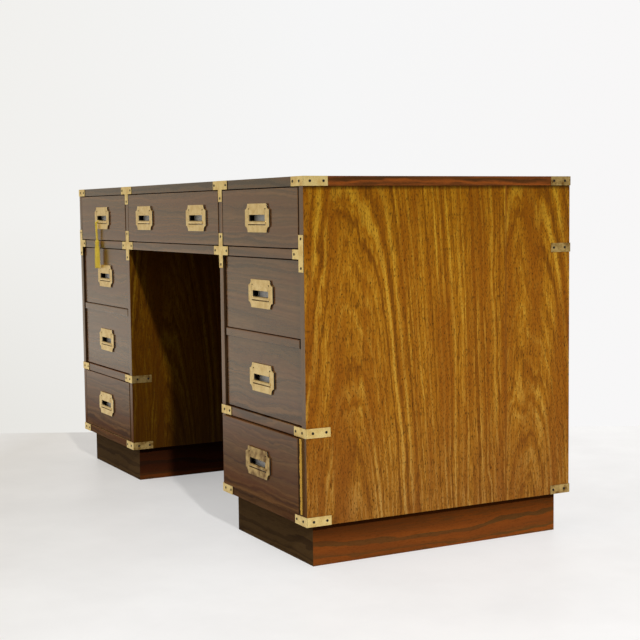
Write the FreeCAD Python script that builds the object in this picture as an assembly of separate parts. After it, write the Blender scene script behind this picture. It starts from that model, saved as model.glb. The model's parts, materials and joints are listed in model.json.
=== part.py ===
"""Kneehole campaign desk: veneered case on two plinths, nine drawers with recessed brass bail pulls,
brass straps on the corners and joints, and a key tassel on the top left pull.

Millimetres. X runs along the desk, Y from front (-) to back (+), Z up from the floor. The origin is on
the floor under the middle of the case.
"""
import FreeCAD
import Part
import math
import os
from FreeCAD import Vector

# Case
desk_width = 1372.0
desk_depth = 635.0
desk_height = 762.0
top_thickness = 19.0
panel_thickness = 18.0
pedestal_width = 398.0
back_thickness = 10.0
floor_thickness = 19.0

# Plinths
plinth_height = 85.0
plinth_board = 18.0
plinth_front_inset = 24.0
plinth_side_inset = 23.0
plinth_back_inset = 22.0

# Rails and the clear heights between them, from the top down; the pedestal rows stretch to fill the case
rail_height = 19.0
rail_depth = 60.0
top_row_height = 121.0
second_row_height = 150.5
third_row_height = 156.0
bottom_row_height = 154.5
divider_setback = 14.0

# Drawer runners
ledge_width = 24.0
ledge_height = 15.0
guide_height = 12.0
guide_clearance = 0.5
runner_clearance = 0.3

# Drawers
front_thickness = 20.0
front_side_gap = 3.5
front_face_gap = 2.0
front_edge_break = 0.8
drawer_length = 560.0
drawer_side_gap = 5.0
drawer_side = 12.0
drawer_back = 12.0
drawer_bottom = 6.0
bottom_raise = 8.0
bottom_groove = 5.0
drawer_headroom = 18.0

# How far each row stands behind the case's front plane when at rest
top_row_setback = -0.8
second_row_setback = 4.5
third_row_setback = 4.5
left_bottom_setback = -0.8
right_bottom_setback = -8.0

# Raised lip along the top of each third drawer, close under the second drawer's front
lip_height = 17.5
lip_projection = 3.4
lip_end_inset = 3.5
lip_edge_round = 2.0
lip_clearance = 0.5
lip_gap = 1.0
second_front_hang = 4.0

# Recessed pull: plate, cup and bail
pull_width = 113.5
pull_height = 58.4
pull_notch_radius = 12.0
pull_plate_thickness = 3.2
cup_depth = 12.0
cup_wall = 1.0
cup_relief = 0.5
pocket_clearance = 0.4
window_top = 6.4
bail_span = 78.0
bail_arm_width = 4.4
bail_arm_depth = 4.0
bail_bar_radius = 3.7
bail_pin_rise = 16.0
bail_bar_drop = 9.7
bail_side_clearance = 0.5
bail_end_clearance = 1.5
pin_radius = 0.8
pin_length = 2.4
pin_clearance = 0.05
pin_sides = 8
centre_pull_share = 0.573

# Brass straps
strap_thickness = 1.5
strap_width = 19.0
stile_strap_width = 20.0
corner_leg = 53.0
corner_front_leg = 49.0
back_leg = 50.0
cross_span = 75.0
tee_drop = 26.0
end_tee_reach = 46.0
end_tee_drop = 34.0
screw_near = 14.0
screw_far = 43.5
screw_end = 7.5
screw_head_radius = 2.7
screw_head_height = 0.6
screw_head_sides = 8

# Key tassel on the top left pull
tassel_offset = 32.5
hitch_thickness = 1.0
hitch_clearance = 0.25
hitch_width = 7.0
tassel_cord_diameter = 5.0
tassel_cord_length = 47.0
tassel_lean = -1.5
tassel_head_length = 19.0
tassel_head_radius = 6.5
tassel_neck_radius = 5.8
tassel_skirt_length = 59.0
tassel_skirt_radius = 7.5
tassel_sides = 16

# Planes worked out from the sizes above
y_front = -desk_depth / 2
y_back = desk_depth / 2
y_back_inner = y_back - back_thickness
y_rail_back = y_front + rail_depth
x_end_outer = desk_width / 2
x_end_inner = x_end_outer - panel_thickness
x_knee_outer = x_end_outer - pedestal_width
x_knee_inner = x_knee_outer + panel_thickness
z_case = plinth_height
z_floor_top = z_case + floor_thickness
z_slab = desk_height - top_thickness
z_rail_top = z_slab - top_row_height
z_rail_bottom = z_rail_top - rail_height
row_heights = second_row_height + third_row_height + bottom_row_height
row_stretch = (z_rail_bottom - z_floor_top - 2 * rail_height) / row_heights
z_divider_top = z_rail_bottom - second_row_height * row_stretch
z_divider_bottom = z_divider_top - rail_height
z_lip_top = z_divider_top - second_front_hang - lip_gap
y_lip_back = y_front + divider_setback - lip_clearance
z_lower_rail_top = z_divider_bottom - third_row_height * row_stretch
z_lower_rail_bottom = z_lower_rail_top - rail_height
drawer_guide_width = drawer_side_gap - guide_clearance
pull_pin_depth = pin_radius + 2 * pin_clearance
slot_outer = bail_span / 2 + bail_arm_width / 2 + bail_side_clearance
slot_inner = bail_span / 2 - bail_arm_width / 2 - bail_side_clearance
slot_top = bail_pin_rise + bail_arm_depth / 2 + bail_end_clearance
hitch_radius = bail_bar_radius + pin_clearance + hitch_thickness
slot_bottom = -bail_bar_drop - hitch_radius - hitch_clearance
SIDES = {"left": -1, "right": 1}


def block(x0, x1, y0, y1, z0, z1):
    """Box between two corners, whichever way round they are given."""
    low = Vector(min(x0, x1), min(y0, y1), min(z0, z1))
    return Part.makeBox(abs(x1 - x0), abs(y1 - y0), abs(z1 - z0), low)


def prism(points, direction):
    """Flat outline, closed and extruded."""
    return Part.Face(Part.makePolygon(points + points[:1])).extrude(direction)


def faceted_rod(radius, sides, length, start, direction):
    """Short rod with flat sides, for the smallest round pieces."""
    turns = [2 * math.pi * k / sides for k in range(sides)]
    points = [Vector(radius * math.cos(a), radius * math.sin(a), 0) for a in turns]
    rod = prism(points, Vector(0, 0, length))
    rod.Placement = FreeCAD.Placement(start, FreeCAD.Rotation(Vector(0, 0, 1), direction))
    return rod


def fused(shapes):
    """One clean solid from shapes that touch."""
    return shapes[0].multiFuse(shapes[1:]).removeSplitter()


def export(name, solids):
    """Writes one named piece, a single solid or a group of separate ones."""
    shape = solids[0] if len(solids) == 1 else Part.makeCompound(solids)
    shape.exportStep("parts/" + name + ".step")


# Case


def end_panel(side):
    return block(side * x_end_inner, side * x_end_outer, y_front, y_back, z_case, z_slab)


def kneehole_panel(side):
    return block(side * x_knee_outer, side * x_knee_inner, y_front, y_back_inner, z_case, z_slab)


def pedestal_floor(side):
    return block(side * x_knee_inner, side * x_end_inner, y_front, y_back_inner, z_case, z_floor_top)


def pedestal_rail(side, z_bottom, setback):
    return block(side * x_knee_inner, side * x_end_inner, y_front + setback, y_rail_back,
                 z_bottom, z_bottom + rail_height)


def plinth(side):
    """Four boards with mitred ends."""
    x0 = side * (x_knee_outer + plinth_side_inset)
    x1 = side * (x_end_outer - plinth_side_inset)
    y0 = y_front + plinth_front_inset
    y1 = y_back - plinth_back_inset
    outer = [Vector(x0, y0, 0), Vector(x1, y0, 0), Vector(x1, y1, 0), Vector(x0, y1, 0)]
    step = side * plinth_board
    inner = [Vector(x0 + step, y0 + plinth_board, 0), Vector(x1 - step, y0 + plinth_board, 0),
             Vector(x1 - step, y1 - plinth_board, 0), Vector(x0 + step, y1 - plinth_board, 0)]
    boards = []
    for a in range(4):
        b = (a + 1) % 4
        boards.append(prism([outer[a], outer[b], inner[b], inner[a]], Vector(0, 0, plinth_height)))
    return boards


def runner(x_wall, inward, z_top):
    """Ledge that carries a drawer's side, with a low guide along the wall."""
    x_guide = x_wall + inward * drawer_guide_width
    x_ledge = x_wall + inward * ledge_width
    outline = [(x_wall, z_top - ledge_height), (x_ledge, z_top - ledge_height), (x_ledge, z_top),
               (x_guide, z_top), (x_guide, z_top + guide_height), (x_wall, z_top + guide_height)]
    points = [Vector(x, y_rail_back, z) for x, z in outline]
    return prism(points, Vector(0, y_back_inner - y_rail_back, 0))


def floor_guide(x_wall, inward):
    """Strip on the pedestal's floor that keeps the bottom drawer straight."""
    return block(x_wall, x_wall + inward * drawer_guide_width, y_rail_back, y_back_inner,
                 z_floor_top, z_floor_top + guide_height)


def drawer_runners():
    strips = []
    for side in SIDES.values():
        for z_top in (z_rail_top, z_divider_top, z_lower_rail_top):
            strips.append(runner(side * x_end_inner, -side, z_top))
            strips.append(runner(side * x_knee_inner, side, z_top))
        strips.append(floor_guide(side * x_end_inner, -side))
        strips.append(floor_guide(side * x_knee_inner, side))
        strips.append(runner(side * x_knee_outer, -side, z_rail_top))
    return strips


def build_case():
    export("desk_top", [block(-x_end_outer, x_end_outer, y_front, y_back, z_slab, desk_height)])
    export("back_panel", [block(-x_end_inner, x_end_inner, y_back_inner, y_back, z_case, z_slab)])
    for name, side in SIDES.items():
        export(name + "_end_panel", [end_panel(side)])
        export(name + "_kneehole_panel", [kneehole_panel(side)])
        export(name + "_plinth", plinth(side))
        export(name + "_pedestal_floor", [pedestal_floor(side)])
    centre_rail = block(-x_knee_outer, x_knee_outer, y_front, y_rail_back, z_rail_bottom, z_rail_top)
    sides = SIDES.values()
    export("top_row_rails", [pedestal_rail(s, z_rail_bottom, 0) for s in sides] + [centre_rail])
    export("lower_rails", [pedestal_rail(s, z_lower_rail_bottom, 0) for s in sides])
    export("drawer_dividers", [pedestal_rail(s, z_divider_bottom, divider_setback) for s in sides])
    export("drawer_runners", drawer_runners())


# Brass straps and their screws


def corner_strap(x, y, out_x, out_y, z, leg_x, leg_y):
    """Strap folded round an upright corner: out_x and out_y point away from the case."""
    t = strap_thickness
    corner = [(x - out_x * leg_x, y), (x, y), (x, y - out_y * leg_y), (x + out_x * t, y - out_y * leg_y),
              (x + out_x * t, y + out_y * t), (x - out_x * leg_x, y + out_y * t)]
    strap = prism([Vector(a, b, z) for a, b in corner], Vector(0, 0, strap_width))
    z_middle = z + strap_width / 2
    screws = []
    for reach in (screw_near, min(screw_far, leg_x - screw_end)):
        screws.append(screw_head(Vector(x - out_x * reach, y + out_y * t, z_middle), Vector(0, out_y, 0)))
    for reach in (screw_near, min(screw_far, leg_y - screw_end)):
        screws.append(screw_head(Vector(x + out_x * t, y - out_y * reach, z_middle), Vector(out_x, 0, 0)))
    return strap, screws


def screw_head(place, outward):
    return faceted_rod(screw_head_radius, screw_head_sides, screw_head_height, place, outward)


def front_strap(outline, screw_places):
    """Flat strap on the case's front, from its outline and screw places in X and Z."""
    points = [Vector(x, y_front, z) for x, z in outline]
    strap = prism(points, Vector(0, -strap_thickness, 0))
    y_face = y_front - strap_thickness
    screws = [screw_head(Vector(x, y_face, z), Vector(0, -1, 0)) for x, z in screw_places]
    return strap, screws


def top_tee(side):
    """Bar on the slab's edge, with a stem down the stile below it."""
    middle = side * (x_knee_outer + x_knee_inner) / 2
    half_bar = cross_span / 2
    half_stem = stile_strap_width / 2
    z_stem = z_slab - tee_drop
    outline = [(middle - half_bar, desk_height), (middle - half_bar, z_slab), (middle - half_stem, z_slab),
               (middle - half_stem, z_stem), (middle + half_stem, z_stem), (middle + half_stem, z_slab),
               (middle + half_bar, z_slab), (middle + half_bar, desk_height)]
    z_bar = (z_slab + desk_height) / 2
    reach = half_bar - screw_end
    places = [(middle - reach, z_bar), (middle + reach, z_bar), (middle, z_stem + screw_end)]
    return front_strap(outline, places)


def stile_cross(side):
    """Cross where the top row's rail meets a kneehole stile."""
    x = side * (x_knee_outer + x_knee_inner) / 2
    z = (z_rail_top + z_rail_bottom) / 2
    arm = cross_span / 2
    wide = stile_strap_width / 2
    tall = rail_height / 2
    outline = [(x - wide, z + arm), (x - wide, z + tall), (x - arm, z + tall), (x - arm, z - tall),
               (x - wide, z - tall), (x - wide, z - arm), (x + wide, z - arm), (x + wide, z - tall),
               (x + arm, z - tall), (x + arm, z + tall), (x + wide, z + tall), (x + wide, z + arm)]
    reach = arm - screw_end
    places = [(x - reach, z), (x + reach, z), (x, z - reach), (x, z + reach)]
    return front_strap(outline, places)


def end_tee(side):
    """Upright bar on an outer stile, with a stub along the top row's rail."""
    x_out = side * x_end_outer
    x_bar = side * (x_end_outer - stile_strap_width)
    x_stub = side * (x_end_outer - end_tee_reach)
    z = (z_rail_top + z_rail_bottom) / 2
    arm = cross_span / 2
    tall = rail_height / 2
    outline = [(x_out, z + arm), (x_out, z - end_tee_drop), (x_bar, z - end_tee_drop), (x_bar, z - tall),
               (x_stub, z - tall), (x_stub, z + tall), (x_bar, z + tall), (x_bar, z + arm)]
    x_middle = (x_out + x_bar) / 2
    places = [(x_middle, z - end_tee_drop + screw_end), (x_middle, z + arm - screw_end),
              (x_stub + side * screw_end, z)]
    return front_strap(outline, places)


def build_straps():
    corners = []
    backs = []
    tees = []
    crosses = []
    z_middle = (z_rail_top + z_rail_bottom) / 2 - strap_width / 2
    legs = (corner_front_leg, corner_leg)
    for side in SIDES.values():
        corners.append(corner_strap(side * x_end_outer, y_front, side, -1, z_slab, *legs))
        for z in (z_lower_rail_bottom, z_case):
            corners.append(corner_strap(side * x_end_outer, y_front, side, -1, z, *legs))
            corners.append(corner_strap(side * x_knee_outer, y_front, -side, -1, z, *legs))
        for z in (z_slab, z_middle, z_case):
            backs.append(corner_strap(side * x_end_outer, y_back, side, 1, z, back_leg, back_leg))
        tees += [top_tee(side), end_tee(side)]
        crosses.append(stile_cross(side))
    export("front_corner_straps", [strap for strap, screws in corners])
    export("back_corner_straps", [strap for strap, screws in backs])
    export("stile_tees", [strap for strap, screws in tees])
    export("stile_crosses", [strap for strap, screws in crosses])
    export("strap_screws", [head for strap, screws in corners + backs + tees + crosses for head in screws])


# Recessed pulls


def pull_outline(y):
    """Plate's outline at a depth y, a rectangle with a round bite out of each corner."""
    a = pull_width / 2
    b = pull_height / 2
    r = pull_notch_radius
    edges = []
    for turn_x, turn_z in ((1, 1), (1, -1), (-1, -1), (-1, 1)):
        start = Vector(turn_x * (a - r), y, turn_z * b)
        middle = Vector(turn_x * (a - r * math.sqrt(0.5)), y, turn_z * (b - r * math.sqrt(0.5)))
        end = Vector(turn_x * a, y, turn_z * (b - r))
        ends = (start, end) if turn_x == turn_z else (end, start)
        edges.append((ends[0], middle, ends[1]))
    wire = []
    for count, (start, middle, end) in enumerate(edges):
        wire.append(Part.Arc(start, middle, end).toShape())
        following = edges[(count + 1) % 4][0]
        wire.append(Part.LineSegment(end, following).toShape())
    return Part.Face(Part.Wire(wire))


def pull_plate():
    """Plate with its finger window, the bail's slots and pin grooves, and the cup that closes them."""
    t = pull_plate_thickness
    plate = pull_outline(0).extrude(Vector(0, -t, 0))
    window = block(-slot_outer, slot_outer, -2 * t, t, slot_bottom, window_top)
    slots = [block(s * slot_inner, s * slot_outer, -2 * t, t, slot_bottom, slot_top) for s in (-1, 1)]
    inner = slot_outer + cup_relief
    cup_low = slot_bottom - cup_relief
    cup_high = slot_top + cup_relief
    shell = block(-inner - cup_wall, inner + cup_wall, 0, cup_depth + cup_wall,
                  cup_low - cup_wall, cup_high + cup_wall)
    hollow = block(-inner, inner, 0, cup_depth, cup_low, cup_high)
    room = pin_radius + pin_clearance
    reach = slot_outer + pin_length
    groove = block(-reach, reach, -pull_pin_depth - room, 0, bail_pin_rise - room, bail_pin_rise + room)
    tongue = block(-slot_inner, slot_inner, -t, 0, slot_bottom, slot_top)
    openings = fused([window] + slots + [groove.cut(tongue)])
    return plate.cut(openings).fuse(shell.cut(hollow)).removeSplitter()


def bail():
    """Two flat arms with round eyes and pins, joined by a round grip bar."""
    half = bail_span / 2
    y = -pull_pin_depth
    length = bail_span + bail_arm_width
    start = Vector(-length / 2, y, -bail_bar_drop)
    shapes = [Part.makeCylinder(bail_bar_radius, length, start, Vector(1, 0, 0))]
    for s in (-1, 1):
        inside = s * (half - bail_arm_width / 2)
        outside = s * (half + bail_arm_width / 2)
        eye = Vector(inside, y, bail_pin_rise)
        shapes.append(block(inside, outside, y - bail_arm_depth / 2, y + bail_arm_depth / 2,
                            -bail_bar_drop, bail_pin_rise))
        shapes.append(Part.makeCylinder(bail_arm_depth / 2, bail_arm_width, eye, Vector(s, 0, 0)))
        reach = bail_arm_width + pin_length
        shapes.append(faceted_rod(pin_radius, pin_sides, reach, eye, Vector(s, 0, 0)))
    return fused(shapes)


def pull_pocket():
    """Pocket in a drawer front for a pull's cup."""
    inner = slot_outer + cup_relief + cup_wall + pocket_clearance
    spread = cup_relief + cup_wall + pocket_clearance
    return block(-inner, inner, 0, cup_depth + cup_wall + pocket_clearance,
                 slot_bottom - spread, slot_top + spread)


# Drawers


class Drawer:
    """One drawer's opening in the case, its resting place and its pulls."""

    def __init__(self, name, x_low, x_high, z_low, z_high, setback, pulls, lipped=False, hang=0):
        self.name = name
        self.x_low = x_low
        self.x_high = x_high
        self.z_low = z_low
        self.z_high = z_high
        self.y_face = y_front + setback
        self.pulls = pulls
        self.lipped = lipped
        self.hang = hang

    def face_top(self):
        """Top of the plain part of the front, which a lip stands above."""
        if self.lipped:
            return z_lip_top - lip_height
        return self.z_high - front_face_gap

    def pull_places(self):
        z = (self.z_low + front_face_gap + self.face_top()) / 2
        return [Vector(x, self.y_face, z) for x in self.pulls]


def drawers():
    rows = []
    bottom_setbacks = {"left": left_bottom_setback, "right": right_bottom_setback}
    for name, side in SIDES.items():
        x_low, x_high = sorted((side * x_knee_inner, side * x_end_inner))
        pull = [(x_low + x_high) / 2]
        rows.append(Drawer("top_" + name, x_low, x_high, z_rail_top, z_slab, top_row_setback, pull))
        rows.append(Drawer(name + "_second", x_low, x_high, z_divider_top, z_rail_bottom,
                           second_row_setback, pull, hang=second_front_hang))
        rows.append(Drawer(name + "_third", x_low, x_high, z_lower_rail_top, z_divider_bottom,
                           third_row_setback, pull, True))
        rows.append(Drawer(name + "_bottom", x_low, x_high, z_floor_top, z_lower_rail_bottom,
                           bottom_setbacks[name], pull))
    offset = x_knee_outer * centre_pull_share
    rows.append(Drawer("centre", -x_knee_outer, x_knee_outer, z_rail_top, z_slab, top_row_setback,
                       [-offset, offset]))
    return rows


def lip(drawer):
    """Raised strip along the top of a front, standing before the divider, with rounded ends and edges."""
    x0 = drawer.x_low + front_side_gap + lip_end_inset
    x1 = drawer.x_high - front_side_gap - lip_end_inset
    y0 = drawer.y_face - lip_projection
    strip = block(x0, x1, y0, y_lip_back, z_lip_top - lip_height, z_lip_top)
    face = [e for e in strip.Edges if all(abs(v.Y - y0) < 1e-6 for v in e.Vertexes)]
    return strip.makeFillet(lip_edge_round, face)


def drawer_bottom_panel(drawer):
    """Thin bottom, let into grooves in the sides and the front."""
    reach = drawer_side_gap + drawer_side - bottom_groove
    z0 = drawer.z_low + runner_clearance + bottom_raise
    return block(drawer.x_low + reach, drawer.x_high - reach,
                 drawer.y_face + front_thickness - bottom_groove, drawer.y_face + drawer_length,
                 z0, z0 + drawer_bottom)


def drawer_front(drawer):
    """Front board with eased edges, pockets for its pulls and a groove for the bottom.

    A second drawer's front hangs down before the divider, as far as the lip below it.
    """
    x0 = drawer.x_low + front_side_gap
    x1 = drawer.x_high - front_side_gap
    z1 = drawer.z_high - front_face_gap
    y0 = drawer.y_face
    z0 = drawer.z_low + front_face_gap
    board = block(x0, x1, y0, y0 + front_thickness, z0, z1)
    if drawer.hang:
        board = fused([board, block(x0, x1, y0, y_lip_back, drawer.z_low - drawer.hang, z0)])
    face = [e for e in board.Edges if all(abs(v.Y - y0) < 1e-6 for v in e.Vertexes)]
    board = board.makeChamfer(front_edge_break, face)
    if drawer.lipped:
        board = fused([board, lip(drawer)])
    for place in drawer.pull_places():
        pocket = pull_pocket()
        pocket.translate(place)
        board = board.cut(pocket)
    return board.cut(drawer_bottom_panel(drawer))


def drawer_box(drawer):
    """Two grooved sides, a bottom panel and a back that stands on it, open at the top."""
    x0 = drawer.x_low + drawer_side_gap
    x1 = drawer.x_high - drawer_side_gap
    y0 = drawer.y_face + front_thickness
    y1 = drawer.y_face + drawer_length
    z0 = drawer.z_low + runner_clearance
    z1 = drawer.z_high - drawer_headroom
    bottom = drawer_bottom_panel(drawer)
    left = block(x0, x0 + drawer_side, y0, y1, z0, z1).cut(bottom)
    right = block(x1 - drawer_side, x1, y0, y1, z0, z1).cut(bottom)
    back = block(x0 + drawer_side, x1 - drawer_side, y1 - drawer_back, y1, bottom.BoundBox.ZMax, z1)
    return [left, right, bottom, back]


def placed(shape, places):
    """Copies of a shape, one at each place."""
    copies = []
    for place in places:
        copy = shape.copy()
        copy.translate(place)
        copies.append(copy)
    return copies


def build_drawers():
    plate = pull_plate()
    handle = bail()
    for drawer in drawers():
        places = drawer.pull_places()
        export(drawer.name + "_front", [drawer_front(drawer)])
        export(drawer.name + "_box", drawer_box(drawer))
        export(drawer.name + "_pull_plate", placed(plate, places))
        names = ["_bail"] if len(places) == 1 else ["_left_bail", "_right_bail"]
        for name, piece in zip(names, placed(handle, places)):
            export(drawer.name + name, [piece])


# Key tassel


def tassel_form(profile, x, y):
    """Faceted round piece about an upright line, from radius and height pairs, top first."""
    turns = [2 * math.pi * k / tassel_sides for k in range(tassel_sides)]
    rings = []
    for radius, z in profile:
        rings.append([Vector(x + radius * math.cos(a), y + radius * math.sin(a), z) for a in turns])
    outlines = [rings[0], rings[-1][::-1]]
    for upper, lower in zip(rings, rings[1:]):
        for k in range(tassel_sides):
            outlines.append([upper[k - 1], lower[k - 1], lower[k], upper[k]])
    faces = [Part.Face(Part.makePolygon(outline + outline[:1])) for outline in outlines]
    return Part.makeSolid(Part.makeShell(faces))


def build_tassel():
    holder = [d for d in drawers() if d.name == "top_left"][0]
    pull = holder.pull_places()[0]
    x = pull.x - tassel_offset
    y_bar = pull.y - pull_pin_depth
    z_bar = pull.z - bail_bar_drop
    start = Vector(x - hitch_width / 2, y_bar, z_bar)
    ring = Part.makeCylinder(hitch_radius, hitch_width, start, Vector(1, 0, 0))
    bore = Part.makeCylinder(bail_bar_radius + pin_clearance, hitch_width, start, Vector(1, 0, 0))
    export("tassel_hitch", [ring.cut(bore)])
    cord_top = Vector(x, y_bar - hitch_radius - tassel_cord_diameter / 2, z_bar)
    y_hang = cord_top.y - tassel_lean
    cord_run = Vector(0, -tassel_lean, -tassel_cord_length)
    cord = Part.makeCylinder(tassel_cord_diameter / 2, cord_run.Length, cord_top, cord_run)
    z_head = cord_top.z - tassel_cord_length
    z_skirt = z_head - tassel_head_length
    z_end = z_skirt - tassel_skirt_length
    shoulder = (tassel_cord_diameter / 2 + tassel_head_radius) / 2
    head = [(tassel_cord_diameter / 2, z_head), (shoulder, z_head - tassel_head_length / 8),
            (tassel_head_radius, z_head - tassel_head_length / 2), (tassel_neck_radius, z_skirt)]
    flare = (tassel_neck_radius + 2 * tassel_skirt_radius) / 3
    skirt = [(tassel_neck_radius, z_skirt), (flare, z_skirt - tassel_skirt_length / 3),
             (tassel_skirt_radius, z_end)]
    tied_head = tassel_form(head, x, y_hang)
    export("tassel_cord", [cord.cut(tied_head)])
    export("tassel_head", [tied_head])
    export("tassel_skirt", [tassel_form(skirt, x, y_hang)])


os.makedirs("parts", exist_ok=True)
build_case()
build_straps()
build_drawers()
build_tassel()
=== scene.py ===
"""Looks of a kneehole campaign desk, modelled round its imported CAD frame.

Metres, in the CAD frame: X runs along the desk, Y from front (-) to back (+), Z up from the floor.
"""
import json
import math
import random

import bpy
from mathutils import Matrix, Vector


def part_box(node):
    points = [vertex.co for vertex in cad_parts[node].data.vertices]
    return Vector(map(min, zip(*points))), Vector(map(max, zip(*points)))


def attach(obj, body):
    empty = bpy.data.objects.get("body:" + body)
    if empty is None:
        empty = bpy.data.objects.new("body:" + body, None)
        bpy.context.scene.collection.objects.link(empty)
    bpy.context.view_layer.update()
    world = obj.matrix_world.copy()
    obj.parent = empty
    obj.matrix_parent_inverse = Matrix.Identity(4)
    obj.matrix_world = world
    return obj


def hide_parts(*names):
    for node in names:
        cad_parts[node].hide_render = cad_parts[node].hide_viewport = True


bl_info = {
    "name": "Campaign desk",
    "version": (1, 0, 0),
    "blender": (4, 5, 0),
    "location": "3D View > Sidebar > Desk",
    "description": "Boards, drawers, brass fittings, key tassel and stage of a kneehole campaign desk",
    "category": "Object",
}

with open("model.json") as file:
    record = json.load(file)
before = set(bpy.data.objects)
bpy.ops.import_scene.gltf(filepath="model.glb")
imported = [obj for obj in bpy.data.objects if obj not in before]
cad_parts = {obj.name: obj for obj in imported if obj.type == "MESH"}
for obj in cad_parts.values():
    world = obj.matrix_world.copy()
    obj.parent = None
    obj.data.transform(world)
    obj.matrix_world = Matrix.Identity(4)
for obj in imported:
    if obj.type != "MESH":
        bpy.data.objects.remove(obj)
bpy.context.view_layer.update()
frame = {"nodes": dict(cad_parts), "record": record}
BODY_OF = {node: body for body, nodes in frame["record"]["behaviour"]["bodies"].items() for node in nodes}
DRAWERS = [node[:-6] for node in sorted(BODY_OF) if node.endswith("_front")]
X, Y, Z = 0, 1, 2
# the case's half width and half depth, and how far from the middle the kneehole reaches
HALF_WIDTH, HALF_DEPTH, KNEEHOLE_REACH = 0.686, 0.3175, 0.3


def linear(hex_colour):
    """Linear RGB of an sRGB hex colour."""
    channels = [int(hex_colour[k:k + 2], 16) / 255 for k in (1, 3, 5)]
    return [c / 12.92 if c <= 0.04045 else ((c + 0.055) / 1.055) ** 2.4 for c in channels]


def colour(name, description, hex_colour):
    """Property for a colour that a user would change."""
    return bpy.props.FloatVectorProperty(name=name, description=description, subtype="COLOR", size=3,
                                         min=0, max=1, default=linear(hex_colour))


def length(name, description, default):
    """Property for a length in metres."""
    return bpy.props.FloatProperty(name=name, description=description, default=default, min=0,
                                   precision=5, unit="LENGTH")


def share(name, description, default):
    """Property for a part of a whole."""
    return bpy.props.FloatProperty(name=name, description=description, default=default, min=0, max=1,
                                   subtype="FACTOR")


class DeskWood(bpy.types.PropertyGroup):
    """Colours and grain of the boards."""
    board_edge: length("Board edge", "Radius that the boards' edges are eased to", 0.0006)
    panel_dark: colour("Panel dark", "Late growth in the honey-coloured panels", "#784616")
    panel_mid: colour("Panel middle", "Usual tone of the honey-coloured panels", "#A46A20")
    panel_light: colour("Panel light", "Early growth in the honey-coloured panels", "#C08E42")
    panel_heart: colour("Panel heart", "Redder heartwood in the honey-coloured panels", "#8C5018")
    stain_dark: colour("Stain dark", "Late growth in the stained boards", "#482A12")
    stain_mid: colour("Stain middle", "Usual tone of the stained boards", "#62401E")
    stain_light: colour("Stain light", "Early growth in the stained boards", "#78502A")
    stain_heart: colour("Stain heart", "Redder heartwood in the stained boards", "#683818")
    plinth_dark: colour("Plinth dark", "Scuffed boards under the drawers", "#3E2C1A")
    plinth_mid: colour("Plinth middle", "Lighter growth in the boards under the drawers", "#564026")
    plinth_side: colour("Plinth side", "Redder boards at the plinths' sides", "#864619")
    # near black: stain on the fronts' ends, and painted shade inside the drawer openings
    opening_stain_and_shade: colour("Opening", "Dark stain round the drawer openings", "#22140A")
    inside_dark: colour("Inside dark", "Late growth in the drawer boxes", "#9C7844")
    inside_mid: colour("Inside middle", "Usual tone of the drawer boxes", "#BD975E")
    inside_light: colour("Inside light", "Early growth in the drawer boxes", "#D2B27E")
    raw_edge: colour("Raw edge", "Bare wood behind the stain on a drawer front's ends", "#D8A93C")
    pore: colour("Pores", "Open pores filled with old varnish", "#3A2008")
    stain_reach: length("Stain reach", "How far the stain runs round a front's ends", 0.0042)


class DeskBrass(bpy.types.PropertyGroup):
    """Colours of the metal fittings."""
    fitting_edge: length("Fitting edge", "Radius that the fittings' edges are worn to", 0.0004)
    bright: colour("Bright", "Lacquered brass of the pulls", "#E0C68B")
    dull: colour("Dull", "Brass of the pulls where the lacquer has aged", "#D1B375")
    strap_bright: colour("Strap bright", "Rubbed brass of the straps", "#E9D08B")
    strap_dull: colour("Strap dull", "Brass of the straps where it has dulled", "#D6B771")
    # painted shade: a darker brass for the fittings at the back, in the kneehole and on the lowest right pull
    dulled: colour("Dulled", "Brass where it is seldom rubbed", "#C4A668")
    tarnish: colour("Tarnish", "Brown spots and edges", "#7A5A2A")
    # near black on the fittings' thin rims and the bails' inner faces
    rim: colour("Rim", "Old polish on the fittings' rims", "#1E150B")
    screw: colour("Screw", "Darkened screw heads", "#171008")
    cup: colour("Cup floor", "Plated floor of the pulls' cups", "#EDEDEC")
    cup_wall: colour("Cup wall", "Blackened walls of the pulls' cups", "#17120C")


class DeskTassel(bpy.types.PropertyGroup):
    """Yarn and sizes of the key tassel."""
    yarn: colour("Yarn", "Golden rayon", "#D8BE2E")
    yarn_shade: colour("Yarn shade", "Rayon between the strands", "#A88617")
    cord: length("Cord", "Radius of the twisted cord", 0.0032)
    strand: length("Strand", "Radius of a strand of the skirt", 0.00062)
    winding: length("Winding", "Radius of the yarn wound on the head", 0.0008)
    hitch: length("Hitch", "Radius of the cord looped round the bail", 0.0005)
    plies: bpy.props.IntProperty(name="Plies", description="Strands twisted into the cord", default=3, min=2)
    pitch: length("Pitch", "Cord length for one full twist", 0.017)


class DeskStage(bpy.types.PropertyGroup):
    """Camera, floor and light."""
    wall: colour("Wall", "White wall behind the desk", "#F5F4F2")
    floor: colour("Floor", "Pale painted concrete", "#FCFBFA")
    floor_bounce: colour("Floor bounce", "Tone that the floor throws back on the desk", "#8E8D8A")
    wall_distance: length("Wall distance", "Where the floor ends, from the camera", 4.16)
    key: bpy.props.FloatProperty(name="Key", description="Strength of the hard light on the right",
                                 default=2.0, min=0, subtype="UNSIGNED")
    fill: bpy.props.FloatProperty(name="Fill", description="Power of the soft box on the right", default=8,
                                  unit="POWER")
    room: share("Room", "Light from the room's far walls", 0.38)
    front: share("Front", "Light from the white wall before the desk", 0.9)
    ceiling: share("Ceiling", "Light from the room's ceiling", 1.0)
    lift: share("Lift", "How much of the floor shows its paint, whatever light reaches it", 0.36)


# Shared ways of working


def pick(piece):
    """Makes one object the only selected one, and the active one."""
    bpy.ops.object.select_all(action="DESELECT")
    piece.select_set(True)
    bpy.context.view_layer.objects.active = piece


def new_object(name, data):
    """Object for a mesh, curve, lamp or camera, picked."""
    piece = bpy.data.objects.new(name, data)
    bpy.context.scene.collection.objects.link(piece)
    pick(piece)
    return piece


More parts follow.
